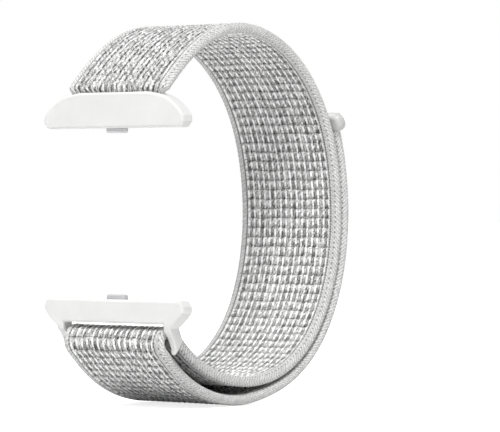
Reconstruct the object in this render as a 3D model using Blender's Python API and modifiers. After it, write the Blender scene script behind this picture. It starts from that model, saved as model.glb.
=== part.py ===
"""Woven hook-and-loop watch strap with two slide-in lugs, as separate closed solids.

Metres, +Z up. X runs across the strap, +Y points from the lugs to the back of the loop.
The origin is the centre of the upper lug's flat front face.

The strap is one woven strip. Its root is fixed in the upper lug. It runs over the top and round
the back of the loop as the inner layer, folds round the bar of the lower lug, and comes back on
the outside as the flap, whose end carries a hook patch and a moulded end bar.
"""
import math

import bmesh
import bpy
import numpy as np
from mathutils import Matrix

# Strap
STRAP_WIDTH = 0.0240
STRAP_THICKNESS = 0.0019
LAYER_GAP = 0.0003
PIECE_GAP = 0.0003
WELD_DISTANCE = 0.000003
PATH_STEP = 0.0025
EDGE_STEPS = 4

# Loop, measured on the middle of the inner layer
LOOP_DEPTH = 0.05115
LOOP_HEIGHT = 0.0647
LUG_SPAN = 0.0310
LOOP_SHARES = (
    (0.182, 0.453),
    (0.404, 0.525),
    (0.638, 0.498),
    (0.824, 0.396),
    (0.937, 0.260),
    (0.988, 0.118),
    (1.000, -0.015),
    (0.980, -0.147),
    (0.920, -0.278),
    (0.802, -0.396),
    (0.625, -0.468),
    (0.421, -0.476),
    (0.228, -0.427),
)
LOWER_LEAD_TILT = math.radians(43)
LOWER_LEAD_LENGTH = 0.0040
LOWER_LEAD_END_SHARE = 0.25
CURVE_SAMPLES = 1200

# Places along the inner layer, as shares of its length from the upper lug to the lower bar
FRONT_BEND_SHARE = 0.165
SHOULDER_BEND_SHARE = 0.315
FLAP_END_SHARE = 0.412
BACK_SPLIT_SHARE = 0.520
TIP_PEEL_SHARE = 0.600
BACK_PEEL_SHARE = 0.710
HEEL_PEEL_SHARE = 0.810
WEDGE_START_SHARE = 0.730

# Spare distance between the layers, from where the wedge opens to the lower bar
WEDGE_SHARES = ((0.0, 0.0), (0.2, 0.1), (0.4, 0.5), (0.6, 0.85), (0.8, 1.0), (1.0, 1.0))

# Lug
LUG_THICKNESS = 0.0029
LUG_HALF_LENGTH = 0.0170
LUG_SEAT_INSET = 0.0008
LUG_FLAT_SHARE = 0.5
LUG_DEPTH = 0.0065
LUG_END_DEPTH = 0.00216
LUG_WEB_DEPTH = 0.0043
LUG_EDGE_RADIUS = 0.0004
LUG_ARC_STEPS = 6
HORN_THICKNESS = 0.0017
HORN_REACH = 0.0099
HORN_TAPER = 0.0009
HORN_EDGE_RADIUS = 0.0003
HORN_SHARES = (
    (-0.40, 0.34),
    (-0.47, 0.56),
    (-0.12, 0.67),
    (0.08, 0.78),
    (0.26, 0.91),
    (0.26, 1.00),
    (0.91, 0.75),
    (0.72, 0.64),
    (0.46, 0.50),
    (0.40, 0.34),
)

# Strap bar, across the two horns of the lower lug
BAR_RADIUS = 0.0006
BAR_Y = 0.00115
BAR_DEPTH = 0.0077
BAR_SEAT_LENGTH = 0.0006
BAR_CLEARANCE = 0.0001
BAR_END_GAP = 0.0002
BAR_SIDES = 20
FOLD_CLEARANCE = 0.00055
FOLD_STEPS = 14

# Latch of a lug: a sprung button behind the seat edge, under a cover on the wrist side
LATCH_POCKET_HALF_LENGTH = 0.0046
LATCH_POCKET_START = 0.0006
LATCH_POCKET_END = 0.0037
LATCH_FLOOR = 0.0006
LATCH_NUB_HALF_LENGTH = 0.0023
LATCH_NUB_REACH = 0.0009
LATCH_NUB_RADIUS = 0.0003
LATCH_FLANGE_HALF_LENGTH = 0.0040
LATCH_FLANGE_DEPTH = 0.0008
LATCH_THICKNESS = 0.0011
LATCH_CLEARANCE = 0.0003
COVER_THICKNESS = 0.0004
COVER_LEDGE = 0.0006
COVER_CLEARANCE = 0.0001
SPRING_RADIUS = 0.00042
SPRING_WIRE_RADIUS = 0.00009
SPRING_TURNS = 3
SPRING_POINTS = 9

# Root of the strap, a thin tongue in a slot of the upper lug, and the bend just above it
ROOT_WIDTH = 0.0226
ROOT_THICKNESS = 0.0009
ROOT_Y = 0.0003
ROOT_LENGTH = 0.0014
ROOT_RECESS = 0.0003
ROOT_BEND_Y = 0.0009

# Flap end: hook patch let into the inner face, and the moulded end bar
HOOK_WIDTH = 0.0200
HOOK_THICKNESS = 0.0005
HOOK_END_MARGIN = 0.0030
TONGUE_THICKNESS = 0.0008
TONGUE_LENGTH = 0.0020
TONGUE_WIDTH = 0.0226
TONGUE_OFFSET = 0.00035
END_BAR_LENGTH = 0.0268
END_BAR_HEIGHT = 0.0036
END_BAR_THICKNESS = 0.0023
END_BAR_RADIUS = 0.00105
END_BAR_STEPS = 3

CUT_OVERRUN = 0.0010
SMOOTH_ANGLE = math.radians(40)

# The origin lies on the front face of the upper lug, half way up its web
SLOT_Y = LUG_THICKNESS / 2
UPPER_SEAT_Z = -LUG_WEB_DEPTH / 2
LOWER_SEAT_Z = UPPER_SEAT_Z - LUG_SPAN
LOOP_MIDDLE_Z = UPPER_SEAT_Z - LUG_SPAN / 2
FOLD_RADIUS = BAR_RADIUS + FOLD_CLEARANCE + STRAP_THICKNESS / 2
LAYER_PITCH = STRAP_THICKNESS + LAYER_GAP
WEDGE_SPARE = 2 * FOLD_RADIUS - LAYER_PITCH
HORN_INNER_X = STRAP_WIDTH / 2 + PIECE_GAP
LUG_SEAT_HALF_LENGTH = LUG_HALF_LENGTH - LUG_SEAT_INSET
LUG_FLAT_HALF_LENGTH = LUG_HALF_LENGTH * LUG_FLAT_SHARE
LUG_CORNER_RUN = LUG_HALF_LENGTH - LUG_FLAT_HALF_LENGTH
LUG_CORNER_DROP = LUG_DEPTH - LUG_END_DEPTH
LUG_CORNER_RADIUS = (LUG_CORNER_RUN ** 2 + LUG_CORNER_DROP ** 2) / (2 * LUG_CORNER_DROP)


def clear_scene():
    for old in list(bpy.data.objects):
        bpy.data.objects.remove(old, do_unlink=True)


def collection(name):
    group = bpy.data.collections.new(name)
    bpy.context.scene.collection.children.link(group)
    return group


clear_scene()
PARTS = collection("watch_strap")
CUTTERS = collection("watch_strap_cutters")

# Drawings are made in a local XY plane. One matrix stands them up in the YZ plane as side views,
# and the other in the XZ plane as front views.
SIDE_VIEW = Matrix(((0, 0, 1, 0), (1, 0, 0, 0), (0, 1, 0, 0), (0, 0, 0, 1)))
FRONT_VIEW = Matrix(((1, 0, 0, 0), (0, 0, 1, 0), (0, 1, 0, 0), (0, 0, 0, 1)))


def material(name, color, roughness, metallic=0.0):
    made = bpy.data.materials.new(name)
    made.use_nodes = True
    shader = made.node_tree.nodes["Principled BSDF"]
    shader.inputs["Base Color"].default_value = (*color, 1.0)
    shader.inputs["Roughness"].default_value = roughness
    shader.inputs["Metallic"].default_value = metallic
    made.diffuse_color = (*color, 1.0)
    return made


def fabric_material(name):
    return material(name, (0.74, 0.74, 0.74), 0.9)


def lug_material(name):
    return material(name, (0.66, 0.66, 0.66), 0.45)


def steel_material(name):
    return material(name, (0.62, 0.62, 0.63), 0.3, 1.0)


def strap_end_material(name):
    return material(name, (0.82, 0.82, 0.82), 0.4)


def hook_material(name):
    return material(name, (0.70, 0.70, 0.70), 0.95)


def smooth_curve(points):
    """Dense points of a natural cubic spline through hand-placed points."""
    knots = np.array(points, dtype=float)
    spans = np.hypot(*np.diff(knots, axis=0).T)
    places = np.concatenate([[0.0], np.cumsum(spans)])
    count = len(knots)
    system = np.eye(count)
    target = np.zeros((count, 2))
    for i in range(1, count - 1):
        before = spans[i - 1]
        after = spans[i]
        system[i, i - 1] = before
        system[i, i] = 2 * (before + after)
        system[i, i + 1] = after
        target[i] = 6 * ((knots[i + 1] - knots[i]) / after - (knots[i] - knots[i - 1]) / before)
    bends = np.linalg.solve(system, target)
    samples = np.linspace(0.0, places[-1], CURVE_SAMPLES)
    index = np.clip(np.searchsorted(places, samples, side="right") - 1, 0, count - 2)
    span = spans[index][:, None]
    left = (places[index + 1] - samples)[:, None]
    right = (samples - places[index])[:, None]
    curve = (bends[index] * left ** 3 + bends[index + 1] * right ** 3) / (6 * span)
    curve += (knots[index] / span - bends[index] * span / 6) * left
    curve += (knots[index + 1] / span - bends[index + 1] * span / 6) * right
    return curve


def bar_centre():
    """Centre of the strap bar in (y, z)."""
    return np.array([SLOT_Y + BAR_Y, LOWER_SEAT_Z - BAR_DEPTH])


def root_bend():
    """Where the strap bends on leaving the upper lug, in (y, z)."""
    above = LUG_DEPTH + PIECE_GAP + STRAP_THICKNESS / 2
    return np.array([SLOT_Y + ROOT_BEND_Y, UPPER_SEAT_Z + above])


class StrapPath:
    """Middle of the inner layer and of the flap, by distance from the bend at the upper lug."""

    def __init__(self):
        lower = bar_centre()
        away = np.array([math.sin(LOWER_LEAD_TILT), math.cos(LOWER_LEAD_TILT)])
        along = np.array([away[1], -away[0]])
        entry = lower + FOLD_RADIUS * away
        points = [root_bend()]
        points += [
            (LOOP_DEPTH * depth, LOOP_MIDDLE_Z + LOOP_HEIGHT * height)
            for depth, height in LOOP_SHARES
        ]
        points += [
            entry + LOWER_LEAD_LENGTH * share * along
            for share in (1.0, LOWER_LEAD_END_SHARE, 0.0)
        ]
        self.points = smooth_curve(points)
        steps = np.hypot(*np.diff(self.points, axis=0).T)
        self.places = np.concatenate([[0.0], np.cumsum(steps)])
        self.length = self.places[-1]
        slopes = np.gradient(self.points, self.places, axis=0)
        self.tangents = slopes / np.hypot(*slopes.T)[:, None]

    def _read(self, table, place):
        return np.array([np.interp(place, self.places, column) for column in table.T])

    def tangent(self, place):
        return self._read(self.tangents, place)

    def outward(self, place):
        along = self.tangent(place)
        return np.array([-along[1], along[0]])

    def inner(self, place, offset=0.0):
        return self._read(self.points, place) + offset * self.outward(place)

    def flap(self, place, offset=0.0):
        start = WEDGE_START_SHARE * self.length
        share = (place - start) / (self.length - start)
        spare = WEDGE_SPARE * np.interp(share, *zip(*WEDGE_CURVE))
        return self.inner(place, LAYER_PITCH + spare + offset)


WEDGE_CURVE = smooth_curve(WEDGE_SHARES)
PATH = StrapPath()


def places_between(start, end):
    count = max(2, math.ceil(abs(end - start) / PATH_STEP) + 1)
    return np.linspace(start, end, count)


def solid(name, mesh, group, finish=None):
    made = bpy.data.objects.new(name, mesh)
    group.objects.link(made)
    if finish:
        mesh.materials.clear()
        mesh.materials.append(finish(name))
    if group is CUTTERS:
        made.hide_render = True
        made.display_type = "WIRE"
    return made


def curve_to_solid(name, drawing, group, finish, matrix):
    """Turn a curve into a closed mesh with its caps welded, standing where matrix puts it."""
    guide = bpy.data.objects.new(name + "_drawing", drawing)
    bpy.context.scene.collection.objects.link(guide)
    bpy.context.view_layer.update()
    evaluated = guide.evaluated_get(bpy.context.evaluated_depsgraph_get())
    mesh = bpy.data.meshes.new_from_object(evaluated)
    bpy.data.objects.remove(guide, do_unlink=True)
    mesh.transform(matrix)
    body = bmesh.new()
    body.from_mesh(mesh)
    bmesh.ops.remove_doubles(body, verts=body.verts, dist=WELD_DISTANCE)
    bmesh.ops.recalc_face_normals(body, faces=body.faces)
    body.to_mesh(mesh)
    body.free()
    mesh.name = name
    mesh.shade_smooth()
    mesh.set_sharp_from_angle(angle=SMOOTH_ANGLE)
    return solid(name, mesh, group, finish)


def poly_curve(name, rows, flat=True, cyclic=True):
    drawing = bpy.data.curves.new(name, "CURVE")
    drawing.dimensions = "2D" if flat else "3D"
    for points in rows:
        line = drawing.splines.new("POLY")
        line.points.add(len(points) - 1)
        for target, point in zip(line.points, points):
            target.co = (*point, *([0.0] * (3 - len(point))), 1.0)
        line.use_cyclic_u = cyclic
    return drawing


def section_profile(name, width, thickness, round_edges):
    """Cross-section of a woven strip: flat faces with rounded selvedges, or a plain rectangle."""
    half_width = width / 2
    half = thickness / 2
    if not round_edges:
        points = [(half, -half_width), (half, half_width), (-half, half_width), (-half, -half_width)]
    else:
        points = []
        for end in (1, -1):
            for step in range(EDGE_STEPS + 1):
                angle = math.pi * step / EDGE_STEPS
                points.append((
                    end * half * math.cos(angle),
                    end * (half_width - half + half * math.sin(angle)),
                ))
    drawing = poly_curve(name, [points])
    return solid(name, drawing, CUTTERS)


def sweep(name, centres, profile, group, finish=None):
    """A strip along a line of (y, z) centres."""
    drawing = poly_curve(name, [centres], flat=False, cyclic=False)
    drawing.twist_mode = "Z_UP"
    drawing.bevel_mode = "OBJECT"
    drawing.bevel_object = profile
    drawing.use_fill_caps = True
    return curve_to_solid(name, drawing, group, finish, SIDE_VIEW)


def plate(name, outline, thickness, group, finish, matrix):
    """A flat outline of the given thickness."""
    drawing = poly_curve(name, [outline])
    drawing.fill_mode = "BOTH"
    drawing.extrude = thickness / 2
    return curve_to_solid(name, drawing, group, finish, matrix)


def block(name, low, high, group, finish=None, matrix=Matrix()):
    """A box between two corners, standing where matrix puts it."""
    mesh = bpy.data.meshes.new(name)
    body = bmesh.new()
    size = [b - a for a, b in zip(low, high)]
    middle = [(a + b) / 2 for a, b in zip(low, high)]
    shape = Matrix.Translation(middle) @ Matrix.Diagonal((*size, 1.0))
    bmesh.ops.create_cube(body, size=1.0, matrix=matrix @ shape)
    bmesh.ops.recalc_face_normals(body, faces=body.faces)
    body.to_mesh(mesh)
    body.free()
    return solid(name, mesh, group, finish)


def cylinder_across(name, radius, half_length, centre, group, finish=None):
    """A cylinder along X with its middle at (x, y, z)."""
    mesh = bpy.data.meshes.new(name)
    body = bmesh.new()
    place = Matrix.Translation(centre) @ Matrix.Rotation(math.pi / 2, 4, "Y")
    bmesh.ops.create_cone(
        body, cap_ends=True, segments=BAR_SIDES, radius1=radius, radius2=radius,
        depth=2 * half_length, matrix=place,
    )
    body.to_mesh(mesh)
    body.free()
    mesh.shade_smooth()
    mesh.set_sharp_from_angle(angle=SMOOTH_ANGLE)
    return solid(name, mesh, group, finish)


def bevel(part, width, segments=2):
    step = part.modifiers.new("edges", "BEVEL")
    step.width = width
    step.segments = segments
    step.limit_method = "ANGLE"
    step.angle_limit = SMOOTH_ANGLE


def boolean(part, tool, operation):
    step = part.modifiers.new(tool.name, "BOOLEAN")
    step.object = tool
    step.operation = operation
    step.solver = "EXACT"


def lug_space(side):
    """Lug drawings use x, y from the slot's middle and depth outwards from the seat edge."""
    seat = UPPER_SEAT_Z if side > 0 else LOWER_SEAT_Z
    return Matrix.Translation((0.0, SLOT_Y, seat)) @ Matrix.Diagonal((1.0, 1.0, side, 1.0))


def lug_outline(with_web):
    """Front outline of a lug without its horns, in (x, depth). The web is low at the bar."""

    def rounded_depth(x):
        beyond = x - LUG_FLAT_HALF_LENGTH
        return LUG_DEPTH - LUG_CORNER_RADIUS + math.sqrt(LUG_CORNER_RADIUS ** 2 - beyond ** 2)

    half = [(LUG_SEAT_HALF_LENGTH, 0.0), (LUG_HALF_LENGTH, LUG_END_DEPTH / 2)]
    for step in range(LUG_ARC_STEPS + 1):
        x = LUG_HALF_LENGTH + (HORN_INNER_X - LUG_HALF_LENGTH) * step / LUG_ARC_STEPS
        half.append((x, rounded_depth(x)))
    if with_web:
        half.append((HORN_INNER_X, LUG_WEB_DEPTH))
    else:
        half.append((LUG_FLAT_HALF_LENGTH, LUG_DEPTH))
    return half + [(-x, depth) for x, depth in reversed(half)]


def horn(name, end):
    """One ear of the lower lug. Its outer face leans in towards the tip."""
    outline = [(LUG_THICKNESS * y, HORN_REACH * depth) for y, depth in HORN_SHARES]
    middle_x = HORN_INNER_X + HORN_THICKNESS / 2
    stand = Matrix.Translation((end * middle_x, 0.0, 0.0)) @ SIDE_VIEW
    made = plate(name, outline, HORN_THICKNESS, CUTTERS, None, stand)
    for vertex in made.data.vertices:
        beyond = max(0.0, vertex.co.z - LUG_WEB_DEPTH)
        if abs(vertex.co.x) > middle_x:
            vertex.co.x -= end * HORN_TAPER * beyond / HORN_REACH
    mirror_into_place(made, lug_space(-1))
    bevel(made, HORN_EDGE_RADIUS)
    return made


def mirror_into_place(part, matrix):
    """Move a mesh and keep its faces looking out where the move mirrors it."""
    part.data.transform(matrix)
    if matrix.determinant() < 0:
        part.data.flip_normals()


def make_lug(label, side):
    space = lug_space(side)
    outline = lug_outline(with_web=side < 0)
    body = plate(label + "_lug_body", outline, LUG_THICKNESS, PARTS, lug_material, FRONT_VIEW)
    mirror_into_place(body, space)
    bevel(body, LUG_EDGE_RADIUS)
    if side < 0:
        add_horns_and_bar(body)
    else:
        add_root(body, space)
    make_latch(label, side, body)


def add_horns_and_bar(lug_body):
    """The lower lug's two horns, and the steel bar that the strap folds round."""
    for label, end in (("right", 1), ("left", -1)):
        boolean(lug_body, horn("horn_" + label, end), "UNION")
    y, z = bar_centre()
    seat_x = HORN_INNER_X + BAR_SEAT_LENGTH
    bore_radius = BAR_RADIUS + BAR_CLEARANCE
    bore = cylinder_across("bar_bore", bore_radius, seat_x + BAR_END_GAP, (0.0, y, z), CUTTERS)
    boolean(lug_body, bore, "DIFFERENCE")
    cylinder_across("strap_bar", BAR_RADIUS, seat_x, (0.0, y, z), PARTS, steel_material)


def add_root(lug_body, space):
    """The strap's root: a thin pressed tongue held in a slot of the upper lug."""
    half_width = ROOT_WIDTH / 2
    half = ROOT_THICKNESS / 2
    high = LUG_DEPTH - ROOT_RECESS
    low = high - ROOT_LENGTH
    block(
        "strap_root",
        (-half_width, ROOT_Y - half, low),
        (half_width, ROOT_Y + half, high), PARTS, fabric_material, space,
    )
    slot = block(
        "root_slot",
        (-half_width - PIECE_GAP, ROOT_Y - half - PIECE_GAP, low - PIECE_GAP),
        (half_width + PIECE_GAP, ROOT_Y + half + PIECE_GAP, LUG_DEPTH + CUT_OVERRUN),
        CUTTERS, matrix=space,
    )
    boolean(lug_body, slot, "DIFFERENCE")


def make_latch(label, side, lug_body):
    space = lug_space(side)
    back = LUG_THICKNESS / 2
    floor = -back + LATCH_FLOOR
    roof = back - COVER_THICKNESS - COVER_CLEARANCE
    pocket = block(
        label + "_latch_pocket",
        (-LATCH_POCKET_HALF_LENGTH, floor, LATCH_POCKET_START),
        (LATCH_POCKET_HALF_LENGTH, back + CUT_OVERRUN, LATCH_POCKET_END), CUTTERS, matrix=space,
    )
    nub_room = LATCH_NUB_HALF_LENGTH + LATCH_CLEARANCE
    slot = block(
        label + "_latch_slot",
        (-nub_room, floor, -CUT_OVERRUN),
        (nub_room, roof, LATCH_POCKET_START + CUT_OVERRUN), CUTTERS, matrix=space,
    )
    rebate_low = LATCH_POCKET_START - COVER_LEDGE / 2
    rebate_high = LATCH_POCKET_END + COVER_LEDGE / 2
    rebate_half = LATCH_POCKET_HALF_LENGTH + COVER_LEDGE
    rebate = block(
        label + "_cover_rebate",
        (-rebate_half, roof, rebate_low),
        (rebate_half, back + CUT_OVERRUN, rebate_high), CUTTERS, matrix=space,
    )
    for tool in (pocket, slot, rebate):
        boolean(lug_body, tool, "DIFFERENCE")
    block(
        label + "_latch_cover",
        (-rebate_half + COVER_CLEARANCE, back - COVER_THICKNESS, rebate_low + COVER_CLEARANCE),
        (rebate_half - COVER_CLEARANCE, back, rebate_high - COVER_CLEARANCE),
        PARTS, lug_material, space,
    )
    low_y = floor + LATCH_CLEARANCE
    flange_start = LATCH_POCKET_START + LATCH_CLEARANCE
    flange_end = flange_start + LATCH_FLANGE_DEPTH
    button = block(
        label + "_latch_button",
        (-LATCH_NUB_HALF_LENGTH, low_y, -LATCH_NUB_REACH),
        (LATCH_NUB_HALF_LENGTH, low_y + LATCH_THICKNESS, flange_end), PARTS, steel_material, space,
    )
    bevel(button, LATCH_NUB_RADIUS)
    flange = block(
        label + "_latch_flange",
        (-LATCH_FLANGE_HALF_LENGTH, low_y, flange_start),
        (LATCH_FLANGE_HALF_LENGTH, low_y + LATCH_THICKNESS, flange_end), CUTTERS, matrix=space,
    )
    boolean(button, flange, "UNION")
    make_spring(label, space, low_y + LATCH_THICKNESS / 2, flange_end + LATCH_CLEARANCE)


def make_spring(label, space, y, start):
    """Coil spring between the button's flange and the end of the pocket."""
    low = start + SPRING_WIRE_RADIUS
    high = LATCH_POCKET_END - LATCH_CLEARANCE - SPRING_WIRE_RADIUS
    count = SPRING_TURNS * SPRING_POINTS
    points = []
    for step in range(count + 1):
        angle = 2 * math.pi * step / SPRING_POINTS
        points.append((
            SPRING_RADIUS * math.cos(angle),
            y + SPRING_RADIUS * math.sin(angle),
            low + (high - low) * step / count,
        ))
    drawing = poly_curve(label + "_latch_spring", [points], flat=False, cyclic=False)
    drawing.bevel_depth = SPRING_WIRE_RADIUS
    drawing.bevel_resolution = 1
    drawing.use_fill_caps = True
    curve_to_solid(label + "_latch_spring", drawing, PARTS, steel_material, space)


def make_layers(profile):
    """The inner layer, the fold round the lower bar, and the flap up to its tip."""
    length = PATH.length
    half_gap = PIECE_GAP / 2
    fold_run = LOWER_LEAD_LENGTH
    cuts = (
        ("strap_front", -half_gap, FRONT_BEND_SHARE * length),
        ("strap_top", FRONT_BEND_SHARE * length, SHOULDER_BEND_SHARE * length),
        ("strap_shoulder", SHOULDER_BEND_SHARE * length, BACK_SPLIT_SHARE * length),
        ("strap_back", BACK_SPLIT_SHARE * length, WEDGE_START_SHARE * length),
        ("strap_underside", WEDGE_START_SHARE * length, length - fold_run),
    )
    for name, start, end in cuts:
        centres = [PATH.inner(place) for place in places_between(start + half_gap, end - half_gap)]
        layer = sweep(name, centres, profile, PARTS, fabric_material)
        if name == "strap_front":
            round_root_end(layer)

    arrival = [PATH.inner(place) for place in places_between(length - fold_run + half_gap, length)]
    lower = bar_centre()
    arm = arrival[-1] - lower
    turn = []
    for step in range(1, FOLD_STEPS):
        angle = math.pi * step / FOLD_STEPS
        across = np.array([-arm[1], arm[0]])
        turn.append(lower + arm * math.cos(angle) + across * math.sin(angle))
    leaving = [PATH.flap(place) for place in places_between(length, length - fold_run + half_gap)]
    sweep("lower_fold", arrival + turn + leaving, profile, PARTS, fabric_material)

    flap_cuts = (
        ("flap_underside", length - fold_run, HEEL_PEEL_SHARE * length),
        ("flap_heel", HEEL_PEEL_SHARE * length, BACK_PEEL_SHARE * length),
        ("flap_back", BACK_PEEL_SHARE * length, TIP_PEEL_SHARE * length),
    )
    for name, start, end in flap_cuts:
        centres = [PATH.flap(place) for place in places_between(start - half_gap, end + half_gap)]
        sweep(name, centres, profile, PARTS, fabric_material)


def round_root_end(layer):
    """A round end on the strap lets it bend over the upper lug without touching it."""
    y, z = root_bend()
    radius = STRAP_THICKNESS / 2
    end = cylinder_across("root_round", radius, STRAP_WIDTH / 2 - radius, (0.0, y, z), CUTTERS)
    boolean(layer, end, "UNION")


def make_flap_tip(profile):
    """The fastening end of the flap, with its hook patch and the tongue inside the end bar."""
    start = TIP_PEEL_SHARE * PATH.length - PIECE_GAP / 2
    end = FLAP_END_SHARE * PATH.length
    centres = [PATH.flap(place) for place in places_between(start, end)]
    tip = sweep("flap_tip", centres, profile, PARTS, fabric_material)

    tongue_profile = section_profile("tongue_section", TONGUE_WIDTH, TONGUE_THICKNESS, False)
    runs = places_between(end + CUT_OVERRUN, end - TONGUE_LENGTH)
    tongue_centres = [PATH.flap(place, TONGUE_OFFSET) for place in runs]
    boolean(tip, sweep("flap_tongue", tongue_centres, tongue_profile, CUTTERS), "UNION")

    hook_start = start - HOOK_END_MARGIN
    hook_end = end + HOOK_END_MARGIN
    inner_face = -STRAP_THICKNESS / 2
    room_depth = HOOK_THICKNESS + PIECE_GAP + CUT_OVERRUN
    room_width = HOOK_WIDTH + 2 * PIECE_GAP
    room_profile = section_profile("hook_room_section", room_width, room_depth, False)
    room_runs = places_between(hook_start + PIECE_GAP, hook_end - PIECE_GAP)
    room_offset = inner_face - CUT_OVERRUN + room_depth / 2
    room_centres = [PATH.flap(place, room_offset) for place in room_runs]
    boolean(tip, sweep("hook_room", room_centres, room_profile, CUTTERS), "DIFFERENCE")
    hook_profile = section_profile("hook_section", HOOK_WIDTH, HOOK_THICKNESS, False)
    hook_offset = inner_face + HOOK_THICKNESS / 2
    hook_centres = [
        PATH.flap(place, hook_offset) for place in places_between(hook_start, hook_end)
    ]
    sweep("hook_patch", hook_centres, hook_profile, PARTS, hook_material)
    make_end_bar(end)


def make_end_bar(flap_end):
    """Moulded bar over the end of the flap. Its inner face is level with the flap's."""
    place = flap_end - PIECE_GAP - END_BAR_HEIGHT / 2
    along = PATH.tangent(place)
    out = PATH.outward(place)
    rise = END_BAR_THICKNESS / 2 - STRAP_THICKNESS / 2
    centre = PATH.flap(place, rise)
    frame = Matrix((
        (1.0, 0.0, 0.0, 0.0),
        (0.0, out[0], along[0], centre[0]),
        (0.0, out[1], along[1], centre[1]),
        (0.0, 0.0, 0.0, 1.0),
    ))
    half = (END_BAR_LENGTH / 2, END_BAR_THICKNESS / 2, END_BAR_HEIGHT / 2)
    bar = block("end_bar", [-size for size in half], half, PARTS, strap_end_material, frame)
    bevel(bar, END_BAR_RADIUS, END_BAR_STEPS)
    bar.data.shade_smooth()
    room = TONGUE_THICKNESS / 2 + PIECE_GAP
    slot_y = TONGUE_OFFSET - rise
    bottom = END_BAR_HEIGHT / 2
    slot = block(
        "end_bar_slot",
        (-TONGUE_WIDTH / 2 - PIECE_GAP, slot_y - room, bottom - TONGUE_LENGTH),
        (TONGUE_WIDTH / 2 + PIECE_GAP, slot_y + room, bottom + CUT_OVERRUN), CUTTERS, matrix=frame,
    )
    boolean(bar, slot, "DIFFERENCE")


def build():
    for label, side in (("upper", 1), ("lower", -1)):
        make_lug(label, side)
    strap_section = section_profile("strap_section", STRAP_WIDTH, STRAP_THICKNESS, True)
    make_layers(strap_section)
    make_flap_tip(strap_section)


build()
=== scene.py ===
"""Looks of the woven watch strap: the strip's weave, selvedges, moulded end and lugs.

The strip is one continuous ribbon. It is cut into pieces only where the model's bodies need it,
and each piece is a dense mesh whose relief is the weave itself.
"""
import math

import bmesh
import bpy
import numpy as np
from mathutils import Matrix, Vector


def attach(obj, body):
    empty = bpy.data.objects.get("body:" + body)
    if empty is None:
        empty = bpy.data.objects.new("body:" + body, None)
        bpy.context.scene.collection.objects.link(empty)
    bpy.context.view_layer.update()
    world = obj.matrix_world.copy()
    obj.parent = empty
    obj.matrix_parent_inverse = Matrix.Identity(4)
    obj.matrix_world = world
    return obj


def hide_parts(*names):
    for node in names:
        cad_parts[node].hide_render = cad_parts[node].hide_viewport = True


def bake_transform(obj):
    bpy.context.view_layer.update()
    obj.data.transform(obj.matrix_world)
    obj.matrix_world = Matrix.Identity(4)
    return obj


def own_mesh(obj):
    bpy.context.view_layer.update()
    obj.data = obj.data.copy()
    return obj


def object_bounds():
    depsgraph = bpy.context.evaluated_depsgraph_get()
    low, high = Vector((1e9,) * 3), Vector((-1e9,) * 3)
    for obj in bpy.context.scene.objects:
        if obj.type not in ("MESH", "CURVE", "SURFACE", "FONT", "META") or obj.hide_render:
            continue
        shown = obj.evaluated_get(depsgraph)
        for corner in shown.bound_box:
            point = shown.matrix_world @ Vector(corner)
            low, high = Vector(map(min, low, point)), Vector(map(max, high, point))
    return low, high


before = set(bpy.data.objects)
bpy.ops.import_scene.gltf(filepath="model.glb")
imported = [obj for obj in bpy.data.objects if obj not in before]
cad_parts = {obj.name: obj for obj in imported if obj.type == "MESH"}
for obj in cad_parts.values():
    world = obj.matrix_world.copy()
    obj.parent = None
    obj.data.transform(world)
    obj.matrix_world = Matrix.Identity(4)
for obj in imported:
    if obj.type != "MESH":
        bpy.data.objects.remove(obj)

CAD_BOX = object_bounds()
MM = 0.001

# Strap, as in the model's source
STRAP_WIDTH = 0.0240
STRAP_THICKNESS = 0.0019
LAYER_GAP = 0.0003
LOOP_DEPTH = 0.05115
LOOP_HEIGHT = 0.0647
LUG_SPAN = 0.0310
LOOP_SHARES = (
    (0.182, 0.453),
    (0.404, 0.525),
    (0.638, 0.498),
    (0.824, 0.396),
    (0.937, 0.260),
    (0.988, 0.118),
    (1.000, -0.015),
    (0.980, -0.147),
    (0.920, -0.278),
    (0.802, -0.396),
    (0.625, -0.468),
    (0.421, -0.476),
    (0.228, -0.427),
)
LOWER_LEAD_TILT = math.radians(43)
LOWER_LEAD_LENGTH = 0.0040
LOWER_LEAD_END_SHARE = 0.25
CURVE_SAMPLES = 1200
FRONT_BEND_SHARE = 0.165
SHOULDER_BEND_SHARE = 0.315
FLAP_END_SHARE = 0.412
BACK_SPLIT_SHARE = 0.520
TIP_PEEL_SHARE = 0.600
BACK_PEEL_SHARE = 0.710
HEEL_PEEL_SHARE = 0.810
WEDGE_START_SHARE = 0.730
WEDGE_SHARES = ((0.0, 0.0), (0.2, 0.1), (0.4, 0.5), (0.6, 0.85), (0.8, 1.0), (1.0, 1.0))
LUG_THICKNESS = 0.0029
LUG_DEPTH = 0.0065
LUG_WEB_DEPTH = 0.0043
BAR_RADIUS = 0.0006
BAR_Y = 0.00115
BAR_DEPTH = 0.0077
FOLD_CLEARANCE = 0.00055
PIECE_GAP = 0.0003
ROOT_Y = 0.0003
ROOT_RECESS = 0.0003
ROOT_LENGTH = 0.0014
ROOT_THICKNESS = 0.0009
ROOT_WIDTH = 0.0226
ROOT_BEND_Y = 0.0009
HOOK_WIDTH = 0.0200
HOOK_END_MARGIN = 0.0030
END_BAR_LENGTH = 0.0268
END_BAR_HEIGHT = 0.0036
END_BAR_THICKNESS = 0.0023

# Rounding of the moulded end, and how far the strip reaches into it
END_BAR_CORNER = 0.0016
END_BAR_EDGE = 0.0009
END_BAR_STEPS = 8
END_BAR_LAP = 0.0004

SLOT_Y = LUG_THICKNESS / 2
UPPER_SEAT_Z = -LUG_WEB_DEPTH / 2
LOWER_SEAT_Z = UPPER_SEAT_Z - LUG_SPAN
LOOP_MIDDLE_Z = UPPER_SEAT_Z - LUG_SPAN / 2
FOLD_RADIUS = BAR_RADIUS + FOLD_CLEARANCE + STRAP_THICKNESS / 2
LAYER_PITCH = STRAP_THICKNESS + LAYER_GAP
WEDGE_SPARE = 2 * FOLD_RADIUS - LAYER_PITCH

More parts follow.
